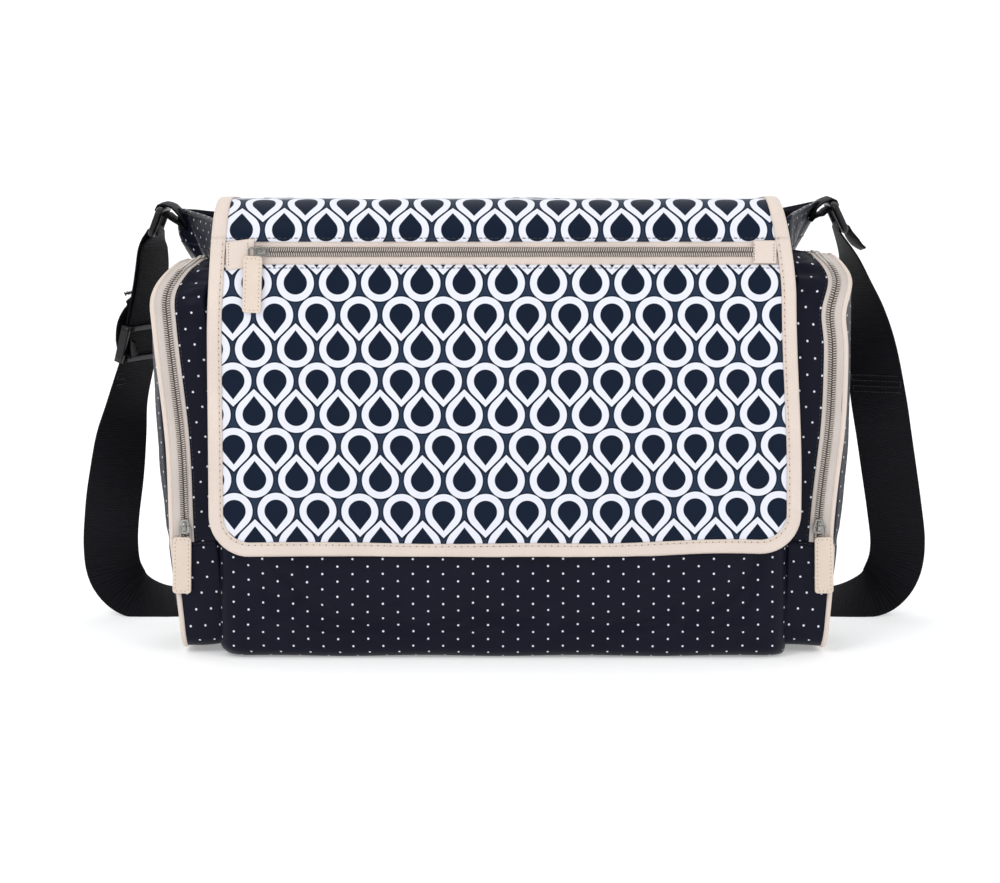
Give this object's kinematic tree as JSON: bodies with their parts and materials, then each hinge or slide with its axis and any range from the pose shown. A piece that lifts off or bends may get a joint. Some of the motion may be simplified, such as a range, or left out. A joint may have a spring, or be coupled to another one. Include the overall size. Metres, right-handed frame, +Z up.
{
  "type": "messenger diaper bag",
  "caption": "Messenger-style diaper bag with a printed front flap, a zipped flap pocket, two arched zipped side pockets and an adjustable webbing shoulder strap.",
  "frame": {"origin": "centre of the base, on the surface that the bag stands on", "axes": "+Z up, the flap faces -Y, +X to the right as seen from the front"},
  "size_m": [0.681, 0.2137, 0.3455],
  "materials": {
    "satin": "navy polyester satin with white pin dots",
    "print": "laminated printed cloth, white drops on slate navy",
    "lining": "black nylon lining",
    "leatherette": "cream leatherette binding and pullers",
    "tape": "cream woven zip tape",
    "coil": "silver-grey nylon coil",
    "slider": "nickel-plated zinc slider",
    "webbing": "black ribbed webbing",
    "plastic": "moulded dark-grey acetal",
    "piping": "cream leatherette piping",
    "foam": "foam padding",
    "board": "stiffener board",
    "hook_loop": "hook and loop tape"
  },
  "bodies": {
    "bag": {"front_panel": "satin", "back_panel": "satin", "left_gusset": "satin", "right_gusset": "satin", "left_gusset_facing": "lining", "right_gusset_facing": "lining", "base_panel": "satin", "base_board": "board", "front_padding": "foam", "back_padding": "foam", "main_lining": "lining", "closure_loop_patches": "hook_loop", "left_pocket_cup": "satin", "left_pocket_gusset": "satin", "left_zip_inner_tape": "tape", "left_zip_inner_coil": "coil", "left_cup_piping": "piping", "right_pocket_cup": "satin", "right_pocket_gusset": "satin", "right_zip_inner_tape": "tape", "right_zip_inner_coil": "coil", "right_cup_piping": "piping"},
    "flap_top": {"flap_top_cloth": "print", "flap_top_facing": "lining", "flap_top_binding": "leatherette"},
    "flap_front": {"flap_lower_cloth": "print", "flap_bend_cloth": "print", "flap_front_facing": "lining", "flap_pocket_sheet": "lining", "flap_front_binding": "leatherette", "flap_zip_tapes": "tape", "flap_zip_chain": "coil", "flap_zip_end_tabs": "tape", "closure_hook_patches": "hook_loop"},
    "flap_slider": {"flap_zip_slider": "slider"},
    "flap_puller": {"flap_puller_link": "slider", "flap_puller_tab": "leatherette"},
    "strap": {"left_strap_ring": "plastic", "right_strap_ring": "plastic", "left_strap_loop": "webbing", "right_strap_loop": "webbing", "strap_left_run": "webbing", "strap_back_run": "webbing", "strap_right_run": "webbing", "strap_adjuster_layer": "webbing"},
    "tri_glide": {"tri_glide": "plastic"},
    "left_pocket_panel": {"left_pocket_panel": "satin", "left_zip_outer_tape": "tape", "left_zip_outer_coil": "coil", "left_panel_piping": "piping"},
    "left_slider": {"left_pocket_slider": "slider"},
    "left_puller": {"left_pocket_puller_link": "slider", "left_pocket_puller_tab": "leatherette"},
    "right_pocket_panel": {"right_pocket_panel": "satin", "right_zip_outer_tape": "tape", "right_zip_outer_coil": "coil", "right_panel_piping": "piping"},
    "right_slider": {"right_pocket_slider": "slider"},
    "right_puller": {"right_pocket_puller_link": "slider", "right_pocket_puller_tab": "leatherette"}
  },
  "joints": [
    {"name": "flap_hinge", "type": "hinge", "parent": "bag", "child": "flap_top", "pos_m": [0, 0.06325, 0.33032], "axis": [-1, 0, 0], "range_deg": [0, 175]},
    {"name": "flap_fold", "type": "hinge", "parent": "flap_top", "child": "flap_front", "pos_m": [0, -0.0598, 0.33635], "axis": [-1, 0, 0], "range_deg": [0, 175]},
    {"name": "flap_zip_slide", "type": "slide", "parent": "flap_front", "child": "flap_slider", "axis": [1, 0, 0], "range_m": [0, 0.35]},
    {"name": "flap_puller_swing", "type": "hinge", "parent": "flap_slider", "child": "flap_puller", "pos_m": [-0.1771, -0.07297, 0.3048], "axis": [0, 0.0558, 0.9984], "range_deg": [0, 180]},
    {"name": "left_pocket_open", "type": "hinge", "parent": "bag", "child": "left_pocket_panel", "pos_m": [-0.2469, 0, 0.08585], "axis": [0, -1, 0], "range_deg": [0, 110]},
    {"name": "left_zip_slide", "type": "slide", "parent": "bag", "child": "left_slider", "axis": [-0.0628, 0, 0.998], "range_m": [0, 0.145]},
    {"name": "left_puller_swing", "type": "hinge", "parent": "left_slider", "child": "left_puller", "pos_m": [-0.23823, -0.0672, 0.09932], "axis": [-1, 0, 0], "range_deg": [0, 150]},
    {"name": "right_pocket_open", "type": "hinge", "parent": "bag", "child": "right_pocket_panel", "pos_m": [0.2469, 0, 0.08585], "axis": [0, 1, 0], "range_deg": [0, 110]},
    {"name": "right_zip_slide", "type": "slide", "parent": "bag", "child": "right_slider", "axis": [0.0628, 0, 0.998], "range_m": [0, 0.145]},
    {"name": "right_puller_swing", "type": "hinge", "parent": "right_slider", "child": "right_puller", "pos_m": [0.23823, -0.0672, 0.09932], "axis": [-1, 0, 0], "range_deg": [0, 150]},
    {"name": "strap_swing", "type": "hinge", "parent": "bag", "child": "strap", "pos_m": [0, 0.053, 0.318], "axis": [1, 0, 0], "range_deg": [0, 165]},
    {"name": "tri_glide_slide", "type": "slide", "parent": "strap", "child": "tri_glide", "axis": [-0.2443, 0.1396, -0.9596], "range_m": [-0.012, 0.012], "deforming": ["strap_adjuster_layer"]}
  ],
  "couplings": [
    {"joint": "flap_fold", "follows": "flap_hinge", "ratio": 1}
  ]
}
